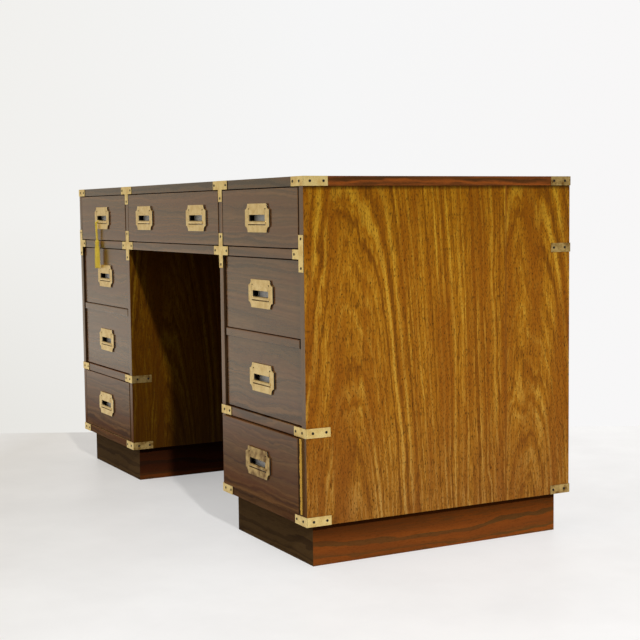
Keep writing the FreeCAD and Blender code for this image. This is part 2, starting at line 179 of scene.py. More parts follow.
def apply_modifier(piece, kind, **settings):
    """Adds a modifier with its settings to a piece and applies it."""
    pick(piece)
    modifier = piece.modifiers.new(kind.lower(), kind)
    for name, value in settings.items():
        setattr(modifier, name, value)
    bpy.ops.object.modifier_apply(modifier=modifier.name)


def stand_for(piece, *nodes):
    """The piece takes the place of CAD nodes and moves with their body."""
    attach(piece, BODY_OF[nodes[0]])
    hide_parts(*nodes)
    return piece


def eased_copy(node, suffix, radius, shape=None):
    """Copy of a CAD node with merged corners, whole faces and eased edges, which takes its place.

    shape works on the copy before its edges are eased.
    """
    piece = new_object(node + suffix, frame["nodes"][node].data.copy())
    bpy.ops.object.mode_set(mode="EDIT")
    bpy.ops.mesh.select_all(action="SELECT")
    bpy.ops.mesh.customdata_custom_splitnormals_clear()
    bpy.ops.mesh.remove_doubles(threshold=1e-6)
    # boards that touch are parted, so that each keeps its own edges
    bpy.ops.mesh.select_mode(type="EDGE")
    bpy.ops.mesh.select_all(action="DESELECT")
    bpy.ops.mesh.select_non_manifold(use_wire=False, use_boundary=False, use_non_contiguous=False,
                                     use_verts=False)
    bpy.ops.mesh.edge_split(type="EDGE")
    bpy.ops.mesh.select_all(action="SELECT")
    bpy.ops.mesh.separate(type="LOOSE")
    bpy.ops.object.mode_set(mode="OBJECT")
    bpy.ops.object.mode_set(mode="EDIT")
    bpy.ops.mesh.select_all(action="SELECT")
    bpy.ops.mesh.remove_doubles(threshold=1e-6)
    bpy.ops.mesh.dissolve_limited(angle_limit=math.radians(0.5))
    bpy.ops.object.mode_set(mode="OBJECT")
    bpy.ops.object.join()
    if shape:
        shape(piece)
    apply_modifier(piece, "BEVEL", width=radius, segments=2, limit_method="ANGLE",
                   angle_limit=math.radians(25), use_clamp_overlap=True)
    bpy.ops.object.shade_smooth_by_angle(angle=math.radians(50))
    apply_modifier(piece, "WEIGHTED_NORMAL", keep_sharp=True)
    return stand_for(piece, node)


def lay_materials(piece, materials, choose=None):
    """Gives a piece its materials; choose picks one for each face from its normal and centre."""
    piece.data.materials.clear()
    for material in materials:
        piece.data.materials.append(material)
    for face in piece.data.polygons:
        face.material_index = choose(face.normal, face.center) if choose else 0


def shade(tree, kind, inputs=None, stops=(), **settings):
    """Adds a shader node with its settings, colour stops and links, and returns its first output."""
    made = tree.nodes.new("ShaderNode" + kind)
    for name, value in settings.items():
        setattr(made, name, value)
    for place, (position, tone) in enumerate(stops):
        elements = made.color_ramp.elements
        stop = elements[place] if place < 2 else elements.new(position)
        stop.position = position
        stop.color = (*tone, 1)
    for key, value in (inputs or {}).items():
        if isinstance(value, bpy.types.NodeSocket):
            tree.links.new(value, made.inputs[key])
        else:
            made.inputs[key].default_value = value
    return made.outputs[0] if made.outputs else None


def new_material(name):
    """Material with an empty node tree."""
    material = bpy.data.materials.new(name)
    material.use_nodes = True
    material.node_tree.nodes.clear()
    return material


# Wood

# varnish has yellowed, so that what it mirrors turns a little warm
VARNISH = (1, 0.86, 0.5, 1)


def wood(name, tones, pore, along, across, figure, shine):
    """Sliced veneer: growth bands bent into arches, fine streaks, open pores, and a varnish over them.

    tones are the late, usual and early growth and the heartwood. along and across are the axes that the
    grain runs along and spreads over. figure holds the bands' spacing, slope, rise and wander, how strong the
    bands, pores and heartwood are, the arches' middles, the line between two leaves of veneer, and the shade
    painted into the wood by height. shine holds the varnish's roughness, level and relief, and the heights
    between which it is worn off.
    """
    if name in bpy.data.materials:
        return bpy.data.materials[name]
    material = new_material(name)
    tree = material.node_tree
    place = shade(tree, "TexCoord").node.outputs["Object"]
    axes = shade(tree, "SeparateXYZ", {0: place}).node.outputs
    side = axes[across]
    depth = axes[3 - along - across]
    middle = figure["middles"][0]
    if "leaf" in figure:
        past = shade(tree, "Math", {0: side, 1: figure["leaf"]}, operation="GREATER_THAN")
        middle = shade(tree, "MapRange", {0: past, 3: middle, 4: figure["middles"][1]})
        # the second leaf takes its pattern from 3.1 m away, so that it has a figure of its own
        depth = shade(tree, "Math", {0: past, 1: 3.1, 2: depth}, operation="MULTIPLY_ADD")
    # the streaks are drawn out 14 times along the board, and its waves, pores and flecks 5 times
    run = shade(tree, "Math", {0: axes[along], 1: 1 / 14}, operation="MULTIPLY")
    drawn_out = shade(tree, "CombineXYZ", {0: side, 1: depth, 2: run})
    run = shade(tree, "Math", {0: axes[along], 1: 1 / 5}, operation="MULTIPLY")
    short = shade(tree, "CombineXYZ", {0: side, 1: depth, 2: run})
    # waves about 80 mm wide
    wander = shade(tree, "TexNoise", {"Vector": short, "Scale": 12, "Detail": 5, "Roughness": 0.6})
    swing = shade(tree, "MapRange", {0: wander, 3: -figure["wander"], 4: figure["wander"]})
    from_middle = shade(tree, "Math", {0: side, 1: middle}, operation="SUBTRACT")
    bent = shade(tree, "Math", {0: from_middle, 1: swing}, operation="ADD")
    rise = shade(tree, "Math", {0: axes[along], 1: figure["slope"], 2: figure["rise"]},
                 operation="MULTIPLY_ADD")
    lift = shade(tree, "Math", {0: rise, 1: swing}, operation="SUBTRACT")
    ring = shade(tree, "VectorMath", {0: shade(tree, "CombineXYZ", {0: bent, 1: lift})},
                 operation="LENGTH").node.outputs["Value"]
    year = shade(tree, "Math", {0: ring, 1: 1 / figure["spacing"]}, operation="MULTIPLY")
    bands = shade(tree, "TexNoise", {"W": year, "Scale": 1, "Detail": 2, "Roughness": 0.6},
                  noise_dimensions="1D")
    # streaks about 2.5 mm wide
    streaks = shade(tree, "TexNoise", {"Vector": drawn_out, "Scale": 400, "Detail": 3, "Roughness": 0.6})
    # pores about 1.2 mm wide, coarser than real ones so that they show
    fine = shade(tree, "TexNoise", {"Vector": short, "Scale": 800, "Detail": 1})
    pores = shade(tree, "MapRange", {0: fine, 1: 0.43, 2: 0.33, 3: 0, 4: figure["pores"]})
    banding = shade(tree, "Math", {0: bands, 1: figure["bands"]}, operation="MULTIPLY")
    mixed = shade(tree, "Math", {0: streaks, 1: 1 - figure["bands"], 2: banding}, operation="MULTIPLY_ADD")
    tone = shade(tree, "ValToRGB", {0: mixed}, stops=[(0.37, tones[0]), (0.5, tones[1]), (0.63, tones[2])])
    # heartwood clouds about 30 mm wide
    clouds = shade(tree, "TexNoise", {"Vector": drawn_out, "Scale": 34, "Detail": 3})
    heart = shade(tree, "MapRange", {0: clouds, 1: 0.4, 2: 0.62, 3: 0, 4: figure["heart"]})
    tone = shade(tree, "MixRGB", {0: heart, 1: tone, 2: (*tones[3], 1)})
    # painted shade: the tone is multiplied by a grey that changes with height
    if "fade" in figure:
        level = shade(tree, "ValToRGB", {0: axes[Z]}, stops=figure["fade"])
        tone = shade(tree, "MixRGB", {0: 1, 1: tone, 2: level}, blend_type="MULTIPLY")
    # flecks about 4 mm wide and 20 mm long, where the grain dips
    dips = shade(tree, "TexNoise", {"Vector": short, "Scale": 230, "Detail": 3})
    flecks = shade(tree, "MapRange", {0: dips, 1: 0.4, 2: 0.3, 3: 0, 4: figure["pores"] * 0.6})
    tone = shade(tree, "MixRGB", {0: flecks, 1: tone, 2: (*pore, 1)})
    tone = shade(tree, "MixRGB", {0: pores, 1: tone, 2: (*pore, 1)})
    if "leaf" in figure:
        away = shade(tree, "Math", {0: side, 1: figure["leaf"]}, operation="SUBTRACT")
        near = shade(tree, "Math", {0: away}, operation="ABSOLUTE")
        # the joint between the leaves shows as a line about 3 mm wide
        joint = shade(tree, "MapRange", {0: near, 1: 0.0008, 2: 0.003, 3: 0.7, 4: 0})
        tone = shade(tree, "MixRGB", {0: joint, 1: tone, 2: (*tones[0], 1)})
    grooves = shade(tree, "Math", {0: streaks, 1: pores}, operation="SUBTRACT")
    relief = shade(tree, "Bump", {"Strength": shine["relief"], "Distance": 0.0003, "Height": grooves})
    gloss = shade(tree, "MapRange", {0: streaks, 1: 0.3, 2: 0.7, 3: shine["rough"] + 0.03,
                                     4: shine["rough"] - 0.03})
    skin = shade(tree, "BsdfPrincipled", {"Base Color": tone, "Roughness": gloss, "Normal": relief,
                                          "Specular IOR Level": shine["level"], "Specular Tint": VARNISH})
    if "worn" in shine:
        bare = shade(tree, "BsdfPrincipled", {"Base Color": tone, "Roughness": 0.6, "Normal": relief,
                                              "Specular IOR Level": 0.05})
        rubbed = shade(tree, "MapRange", {0: axes[Z], 1: shine["worn"][1], 2: shine["worn"][0]})
        skin = shade(tree, "MixShader", {0: rubbed, 1: skin, 2: bare})
    shade(tree, "OutputMaterial", {0: skin})
    return material


# painted shade by height: the veneer is brightest mid-height and darker and yellower towards the top, with a
# painted shadow line under the slab; the back panel takes the same
PANEL_FIGURE = {"spacing": 0.009, "slope": 0.14, "rise": 0.02, "wander": 0.03, "bands": 0.58, "pores": 0.85,
                "heart": 0.8, "middles": (-0.212, 0.214), "leaf": 0.152,
                "fade": [(0.1, (0.88, 0.9, 1)), (0.3, (1, 1, 0.62)), (0.56, (0.98, 0.98, 0.42)),
                         (0.736, (0.79, 0.79, 0.22)), (0.7395, (0.15, 0.15, 0.05))]}
# painted shade: the kneehole panels' veneer is kept at 17 to 29 percent of its tone, with less blue, darkest
# low down
KNEE_FIGURE = {**PANEL_FIGURE, "fade": [(0.1, (0.17, 0.16, 0.05)), (0.3, (0.26, 0.25, 0.07)),
                                        (0.5, (0.29, 0.28, 0.08)), (0.62, (0.27, 0.26, 0.07))]}
BACK_FIGURE = {**PANEL_FIGURE, "middles": (-0.34, 0.31), "leaf": 0.0}
BOARD_FIGURE = {"spacing": 0.012, "slope": 0.05, "rise": 0.03, "wander": 0.04, "bands": 0.75, "pores": 0.25,
                "heart": 0.6, "middles": (0.44,)}
# painted shade: the plinths' ends darken towards their top, under the case, and their kneehole sides stay
# dark throughout, darkest at the top
PLINTH_FIGURE = {**BOARD_FIGURE, "fade": [(0.03, (1, 1, 1)), (0.082, (0.3, 0.3, 0.3))]}
PLINTH_KNEE_FIGURE = {**BOARD_FIGURE, "fade": [(0.008, (0.5, 0.5, 0.6)), (0.02, (0.2, 0.2, 0.4)),
                                               (0.082, (0.1, 0.1, 0.2))]}
INSIDE_FIGURE = {"spacing": 0.005, "slope": 0.03, "rise": 0.05, "wander": 0.012, "bands": 0.4, "pores": 0.35,
                 "heart": 0.3, "middles": (0.3,)}


def honey_pecan(place, across, figure):
    """Pecan veneer under honey-coloured varnish: warm amber, arched figure, dark pores and little gloss."""
    sizes = bpy.context.scene.desk_wood
    tones = (sizes.panel_dark, sizes.panel_mid, sizes.panel_light, sizes.panel_heart)
    return wood("honey_pecan_" + place, tones, sizes.pore, Z, across, figure,
                {"rough": 0.36, "level": 0.08, "relief": 0.25})


def stained_walnut(along, across):
    """Walnut veneer stained dark: red-brown, and hazy where the satin varnish catches the white room."""
    sizes = bpy.context.scene.desk_wood
    tones = (sizes.stain_dark, sizes.stain_mid, sizes.stain_light, sizes.stain_heart)
    name = "stained_walnut_" + "xyz"[along] + "xyz"[across]
    return wood(name, tones, sizes.pore, along, across, BOARD_FIGURE,
                {"rough": 0.2, "level": 0.58, "relief": 0.06, "worn": (0.11, 0.32)})


def slab_walnut():
    """Darker walnut on the slab's front edge, under the same varnish as the drawers."""
    sizes = bpy.context.scene.desk_wood
    tones = (sizes.plinth_dark, sizes.plinth_mid, sizes.stain_mid, sizes.stain_dark)
    return wood("slab_walnut", tones, sizes.pore, X, Z, BOARD_FIGURE,
                {"rough": 0.2, "level": 0.45, "relief": 0.06})


def dull_walnut(along, across):
    """Stained walnut with little varnish, on ends and inside the openings, where it is near black: stain and
    painted shade.
    """
    sizes = bpy.context.scene.desk_wood
    tones = (sizes.stain_dark, sizes.stain_mid, sizes.stain_light, sizes.stain_heart)
    if along == Y:
        tones = (sizes.stain_dark, sizes.stain_heart, sizes.plinth_side, sizes.plinth_side)
    # inside the openings the tones are near black, partly stain and partly painted shade
    if along == Z:
        tones = (sizes.opening_stain_and_shade, sizes.opening_stain_and_shade, sizes.plinth_dark, sizes.plinth_dark)
    name = "dull_walnut_" + "xyz"[along] + "xyz"[across]
    return wood(name, tones, sizes.pore, along, across, BOARD_FIGURE,
                {"rough": 0.45, "level": 0.06, "relief": 0.15})


def plinth_walnut(place):
    """Stained walnut with its varnish worn off by shoes and brooms, so that it stays dark; its front takes
    darker tones than its ends, and its ends and kneehole sides carry painted shade towards their top.
    """
    sizes = bpy.context.scene.desk_wood
    along = Y
    tones = (sizes.stain_mid, sizes.plinth_side, sizes.plinth_side, sizes.stain_heart)
    figure = PLINTH_KNEE_FIGURE if place == "kneehole" else PLINTH_FIGURE
    # the front takes darker tones than the plinth's ends
    if place == "front":
        along = X
        tones = (sizes.plinth_dark, sizes.plinth_mid, sizes.plinth_mid, sizes.plinth_mid)
        figure = BOARD_FIGURE
    return wood("plinth_walnut_" + place, tones, sizes.pore, along, Z, figure,
                {"rough": 0.5, "level": 0.004, "relief": 0.15})


def sealed_poplar(along, across):
    """Poplar under a thin sealer: pale, plain and dull."""
    sizes = bpy.context.scene.desk_wood
    tones = (sizes.inside_dark, sizes.inside_mid, sizes.inside_light, sizes.inside_light)
    name = "sealed_poplar_" + "xyz"[along] + "xyz"[across]
    return wood(name, tones, sizes.pore, along, across, INSIDE_FIGURE,
                {"rough": 0.55, "level": 0.25, "relief": 0.2})


def front_end_grain():
    """End of a drawer front: stain that runs out in a ragged line, and bare yellow wood behind it."""
    name = "stain_over_bare_wood"
    if name in bpy.data.materials:
        return bpy.data.materials[name]
    sizes = bpy.context.scene.desk_wood
    material = new_material(name)
    tree = material.node_tree
    place = shade(tree, "TexCoord").node.outputs["Object"]
    behind = shade(tree, "Attribute", attribute_name="behind_face").node.outputs["Fac"]
    # the stain's edge wanders by about 2 mm over every 12 mm
    ragged = shade(tree, "TexNoise", {"Vector": place, "Scale": 80, "Detail": 3})
    edge = shade(tree, "MapRange", {0: ragged, 1: 0.3, 2: 0.7, 3: sizes.stain_reach - 0.001,
                                    4: sizes.stain_reach + 0.001})
    past = shade(tree, "Math", {0: behind, 1: edge}, operation="SUBTRACT")
    bare = shade(tree, "MapRange", {0: past, 1: 0, 2: 0.0006})
    fibres = shade(tree, "TexNoise", {"Vector": place, "Scale": 900, "Detail": 2})
    stained = shade(tree, "ValToRGB", {0: fibres}, stops=[(0.35, sizes.opening_stain_and_shade), (0.65, sizes.plinth_dark)])
    raw = shade(tree, "ValToRGB", {0: fibres}, stops=[(0.35, sizes.inside_dark), (0.6, sizes.raw_edge)])
    tone = shade(tree, "MixRGB", {0: bare, 1: stained, 2: raw})
    relief = shade(tree, "Bump", {"Strength": 0.2, "Distance": 0.0003, "Height": fibres})
    gloss = shade(tree, "MapRange", {0: bare, 3: 0.4, 4: 0.75})
    skin = shade(tree, "BsdfPrincipled", {"Base Color": tone, "Roughness": gloss, "Normal": relief,
                                          "Specular IOR Level": 0.15})
    shade(tree, "OutputMaterial", {0: skin})
    return material


# Metal


def aged_brass(place):
    """Rolled brass under worn lacquer: pale gold where it is rubbed, brown spots, fine scratches."""
    name = "aged_brass_" + place
    if name in bpy.data.materials:
        return bpy.data.materials[name]
    tones = bpy.context.scene.desk_brass
    # the third set of tones is a darker copy of the brass, which is painted shade
    dull, bright = {"pull": (tones.dull, tones.bright), "strap": (tones.strap_dull, tones.strap_bright),
                    "dulled": (tones.tarnish, tones.dulled)}[place]
    material = new_material(name)
    tree = material.node_tree
    spot = shade(tree, "TexCoord").node.outputs["Object"]
    # clouds of patina about 15 mm wide, and spots of about 2 mm
    clouds = shade(tree, "TexNoise", {"Vector": spot, "Scale": 65, "Detail": 3, "Roughness": 0.6})
    spots = shade(tree, "TexNoise", {"Vector": spot, "Scale": 480, "Detail": 2})
    tone = shade(tree, "ValToRGB", {0: clouds}, stops=[(0.35, dull), (0.6, bright)])
    spotted = shade(tree, "MapRange", {0: spots, 1: 0.4, 2: 0.27, 3: 0, 4: 0.6})
    tone = shade(tree, "MixRGB", {0: spotted, 1: tone, 2: (*tones.tarnish, 1)})
    # the rolling left lines along X, about 0.7 mm apart so that they show
    squeezed = shade(tree, "Mapping", {"Vector": spot, "Scale": (60, 1400, 1400)})
    lines = shade(tree, "TexNoise", {"Vector": squeezed, "Scale": 1, "Detail": 2})
    gloss = shade(tree, "MapRange", {0: clouds, 1: 0.3, 2: 0.7, 3: 0.45, 4: 0.37})
    relief = shade(tree, "Bump", {"Strength": 0.06, "Distance": 0.0002, "Height": lines})
    skin = shade(tree, "BsdfPrincipled", {"Base Color": tone, "Metallic": 1, "Roughness": gloss,
                                          "Normal": relief})
    shade(tree, "OutputMaterial", {0: skin})
    return material


def plain_metal(name, tone, mottle, rough, metal=1):
    """Metal of one tone, with mottling about 3 mm wide."""
    if name in bpy.data.materials:
        return bpy.data.materials[name]
    material = new_material(name)
    tree = material.node_tree
    place = shade(tree, "TexCoord").node.outputs["Object"]
    cloud = shade(tree, "TexNoise", {"Vector": place, "Scale": 330, "Detail": 3})
    darker = [channel * mottle for channel in tone]
    tint = shade(tree, "ValToRGB", {0: cloud}, stops=[(0.35, darker), (0.6, tone)])
    gloss = shade(tree, "MapRange", {0: cloud, 3: rough + 0.1, 4: rough - 0.1})
    relief = shade(tree, "Bump", {"Strength": 0.08, "Distance": 0.0002, "Height": cloud})
    skin = shade(tree, "BsdfPrincipled", {"Base Color": tint, "Metallic": metal, "Roughness": gloss,
                                          "Normal": relief})
    shade(tree, "OutputMaterial", {0: skin})
    return material


def darkened_screw():
    """Screw brass gone nearly black, dull in the slots."""
    return plain_metal("darkened_screw_brass", bpy.context.scene.desk_brass.screw, 0.55, 0.55, 0.5)


def dark_rim():
    """Brass on the fittings' thin rims, near black."""
    return plain_metal("browned_brass", bpy.context.scene.desk_brass.rim, 0.6, 0.6, 0.3)


def plated_cup():
    """Dull zinc on the floor of a pull's cup, silvery wherever light reaches it."""
    return plain_metal("zinc_plate", bpy.context.scene.desk_brass.cup, 0.88, 0.6, 0.2)


def blackened_cup():
    """Unplated, blackened steel on the walls of a pull's cup."""
    return plain_metal("blackened_steel", bpy.context.scene.desk_brass.cup_wall, 0.6, 0.6)


# Yarn


def rayon_yarn():
    """Rayon yarn: golden, with soft sheen along the fibres and shade between them."""
    name = "rayon_yarn"
    if name in bpy.data.materials:
        return bpy.data.materials[name]
    tones = bpy.context.scene.desk_tassel
    material = new_material(name)
    tree = material.node_tree
    place = shade(tree, "TexCoord").node.outputs["Object"]
    # fibres about 0.3 mm wide that run down the tassel, drawn coarse so that they show
    drawn_out = shade(tree, "Mapping", {"Vector": place, "Scale": (3000, 3000, 300)})
    fibres = shade(tree, "TexNoise", {"Vector": drawn_out, "Scale": 1, "Detail": 3})
    tone = shade(tree, "ValToRGB", {0: fibres}, stops=[(0.32, tones.yarn_shade), (0.58, tones.yarn)])
    gloss = shade(tree, "MapRange", {0: fibres, 3: 0.6, 4: 0.4})
    relief = shade(tree, "Bump", {"Strength": 0.3, "Distance": 0.0002, "Height": fibres})
    skin = shade(tree, "BsdfPrincipled", {"Base Color": tone, "Roughness": gloss, "Normal": relief,
                                          "Sheen Weight": 0.3, "Sheen Roughness": 0.4})
    shade(tree, "OutputMaterial", {0: skin})
    return material


# Pieces


class DESK_OT_case(bpy.types.Operator):
    """Slab, panels, rails, pedestal floors, plinths, runners and back of the desk."""
    bl_idname = "desk.case"
    bl_label = "Case"

    def execute(self, context):
        edge = context.scene.desk_wood.board_edge
        along_x = stained_walnut(X, Z)
        upright = stained_walnut(Z, X)
        slab = eased_copy("desk_top", "_board", edge)
        lay_materials(slab, [stained_walnut(X, Y), slab_walnut(), dull_walnut(Y, Z)],
                      lambda normal, centre: 2 if abs(normal.x) > 0.8 else 1 if abs(normal.y) > 0.8 else 0)
        for side in ("left", "right"):
            outward = 1 if side == "right" else -1
            lay_materials(eased_copy(side + "_end_panel", "_board", edge),
                          [upright, honey_pecan("end", Y, PANEL_FIGURE), dull_walnut(Z, Y)],
                          lambda normal, centre: self.side_finish(normal.x * outward))
            lay_materials(eased_copy(side + "_kneehole_panel", "_board", edge),
                          [upright, honey_pecan("kneehole", Y, KNEE_FIGURE), dull_walnut(Z, Y)],
                          lambda normal, centre: self.side_finish(-normal.x * outward))
            lay_materials(eased_copy(side + "_plinth", "_boards", edge),
                          [plinth_walnut("front"), plinth_walnut("end"), plinth_walnut("kneehole")],
                          lambda normal, centre: self.side_finish(normal.x * outward))
            lay_materials(eased_copy(side + "_pedestal_floor", "_board", edge),
                          [along_x, sealed_poplar(X, Y)],
                          lambda normal, centre: 0 if normal.y < -0.5 else 1)
        for rails in ("top_row_rails", "lower_rails"):
            lay_materials(eased_copy(rails, "_boards", edge), [along_x])
        for strips, along in (("drawer_dividers", X), ("drawer_runners", Y)):
            lay_materials(eased_copy(strips, "_boards", edge), [sealed_poplar(along, Z)])
        back = eased_copy("back_panel", "_board", edge)
        lay_materials(back, [dull_walnut(Z, X), honey_pecan("back", X, BACK_FIGURE)],
                      lambda normal, centre: 1 if normal.y > 0.8 else 0)
        return {"FINISHED"}

    @staticmethod
    def side_finish(outward):
        """First finish on front and edges, second on the face that looks outward, third on its opposite."""
        if abs(outward) < 0.8:
            return 0
        return 1 if outward > 0 else 2


class DESK_OT_drawers(bpy.types.Operator):
    """Fronts and boxes of the nine drawers."""
    bl_idname = "desk.drawers"
    bl_label = "Drawers"

    def execute(self, context):
        edge = context.scene.desk_wood.board_edge / 2
        finishes = [stained_walnut(X, Z), front_end_grain(), sealed_poplar(X, Z)]
        for drawer in DRAWERS:
            front = eased_copy(drawer + "_front", "_board", edge)
            lay_materials(front, finishes, self.front_finish)
            self.mark_depth(front)
            lay_materials(eased_copy(drawer + "_box", "_boards", edge),
                          [sealed_poplar(Y, Z), sealed_poplar(X, Z)],
                          lambda normal, centre: 1 if abs(normal.y) > 0.8 else 0)
        return {"FINISHED"}

    @staticmethod
    def front_finish(normal, centre):
        """Stain on the face, top and bottom, ragged stain on the ends, sealer on the back."""
        if abs(normal.x) > 0.8:
            return 1
        return 2 if normal.y > 0.8 else 0

    @staticmethod
    def mark_depth(front):
        """Stores how far behind its face each corner of a front lies."""
        face = min(corner.co.y for corner in front.data.vertices)
        behind = front.data.attributes.new("behind_face", "FLOAT", "POINT")
        behind.data.foreach_set("value", [corner.co.y - face for corner in front.data.vertices])


class DESK_OT_pulls(bpy.types.Operator):
    """Recessed pulls: plates with their cups, and bails."""
    bl_idname = "desk.pulls"
    bl_label = "Pulls"

    # from a pull's foremost point back to where its cup starts
    brass_depth = 0.0032

    def execute(self, context):
        edge = context.scene.desk_brass.fitting_edge
        lining = [plated_cup(), blackened_cup(), dark_rim()]
        for drawer in DRAWERS:
            # the lowest right pull takes the darker brass, as painted shade
            brass = aged_brass("dulled" if drawer == "right_bottom" else "pull")
            node = drawer + "_pull_plate"
            plate_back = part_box(node)[0].y + self.brass_depth
            plate = eased_copy(node, "_brass", edge)
            lay_materials(plate, [brass] + lining,
                          lambda normal, centre: self.plate_finish(normal, centre, plate_back))
            for bail in BODY_OF:
                if bail.startswith(drawer) and bail.endswith("_bail"):
                    low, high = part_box(bail)
                    middle = (low.x + high.x) / 2
                    lay_materials(eased_copy(bail, "_brass", edge), [brass, dark_rim()],
                                  lambda normal, centre: 1 if normal.x * (middle - centre.x) > 0.02 else 0)
        return {"FINISHED"}

    @staticmethod
    def plate_finish(normal, centre, plate_back):
        """Brass before the drawer's face, and behind it the cup's bright floor and black walls."""
        if normal.z > 0.8:
            return 0
        if centre.y < plate_back + 0.0004:
            return 3 if abs(normal.y) < 0.3 else 0
        return 1 if normal.y < -0.8 else 2


class DESK_OT_straps(bpy.types.Operator):
    """Brass straps and their slotted screws."""
    bl_idname = "desk.straps"
    bl_label = "Straps"

    def execute(self, context):
        edge = context.scene.desk_brass.fitting_edge
        for node in ("front_corner_straps", "back_corner_straps", "stile_tees", "stile_crosses"):
            straps = eased_copy(node, "_brass", edge, self.round_folds)
            lay_materials(straps, [aged_brass("strap"), dark_rim(), aged_brass("dulled")],
                          self.strap_finish)
        self.screws()
        return {"FINISHED"}

    @staticmethod
    def strap_finish(normal, centre):
        """Brown on the thin rims, and darker brass, as painted shade, at the back and in the kneehole."""
        lies_along_y = abs(centre.y) < HALF_DEPTH - 0.0001
        if abs(normal.x if lies_along_y else normal.y) < 0.3:
            return 1
        return 2 if centre.y > 0 or lies_along_y and abs(centre.x) < KNEEHOLE_REACH else 0

    @staticmethod
    def round_folds(straps):
        """Bends the corner straps round their corners, in place of a sharp fold."""
        folds = straps.data.attributes.new("bevel_weight_edge", "FLOAT", "EDGE")
        for edge in straps.data.edges:
            start, end = (straps.data.vertices[corner].co for corner in edge.vertices)
            on_flat = KNEEHOLE_REACH - 0.01 < abs(start.x) < HALF_WIDTH + 0.001
            at_corner = abs(start.y) > HALF_DEPTH + 0.001 and not on_flat
            folds.data[edge.index].value = at_corner and abs(end.z - start.z) > 0.01
        apply_modifier(straps, "BEVEL", width=0.0013, segments=4, limit_method="WEIGHT")

    def screws(self):
        """Slotted heads, one on each of the CAD's plain ones, each slot turned its own way."""
        heads = new_object("plain_heads", frame["nodes"]["strap_screws"].data.copy())
        bpy.ops.object.mode_set(mode="EDIT")
        bpy.ops.mesh.select_all(action="SELECT")
        bpy.ops.mesh.remove_doubles(threshold=1e-6)
        bpy.ops.mesh.separate(type="LOOSE")
        bpy.ops.object.mode_set(mode="OBJECT")
        plain = list(bpy.context.selected_objects)
        head = self.slotted_head()
        turns = random.Random(5)
        copies = []
        for blank in plain:
            corners = [corner.co for corner in blank.data.vertices]
            low = Vector(map(min, zip(*corners)))
            high = Vector(map(max, zip(*corners)))
            copy = new_object("slotted_head", head.data.copy())
            size = high - low
            axis = Vector((1, 0, 0)) if size.x < size.y else Vector((0, 1, 0))
            middle = (low + high) / 2
            if axis.x:
                kneehole = abs(middle.x) < KNEEHOLE_REACH
                axis *= -math.copysign(1, middle.x) if kneehole else math.copysign(1, middle.x)
            else:
                axis *= math.copysign(1, middle.y)
            turn = Matrix.Rotation(turns.uniform(0, math.pi), 4, "Z")
            facing = axis.to_track_quat("Z", "Y").to_matrix().to_4x4()
            copy.data.transform(Matrix.Translation(middle) @ facing @ turn)
            copies.append(copy)
        for blank in plain + [head]:
            bpy.data.objects.remove(blank)
        bpy.ops.object.select_all(action="DESELECT")
        for copy in copies:
            copy.select_set(True)
        bpy.context.view_layer.objects.active = copies[0]
        bpy.ops.object.join()
        screws = bpy.context.object
        screws.name = "strap_screws_slotted"
        lay_materials(screws, [darkened_screw()])
        stand_for(screws, "strap_screws")

    @staticmethod
    def slotted_head():
        """One round head, 5.4 mm wide, with a rounded rim and a slot 0.8 mm wide."""
        bpy.ops.object.select_all(action="DESELECT")
        bpy.ops.mesh.primitive_cylinder_add(vertices=20, radius=0.0027, depth=0.0006)
        head = bpy.context.object
        apply_modifier(head, "BEVEL", width=0.00028, segments=2, limit_method="ANGLE")
        bpy.ops.mesh.primitive_cube_add(size=1, location=(0, 0, 0.0003))
        cutter = bpy.context.object
        cutter.scale = (0.006, 0.0008, 0.0005)
        bpy.ops.object.transform_apply(location=True, rotation=True, scale=True)
        apply_modifier(head, "BOOLEAN", operation="DIFFERENCE", object=cutter, solver="EXACT")
        bpy.data.objects.remove(cutter)
        pick(head)
        bpy.ops.object.shade_smooth_by_angle(angle=math.radians(40))
        return head


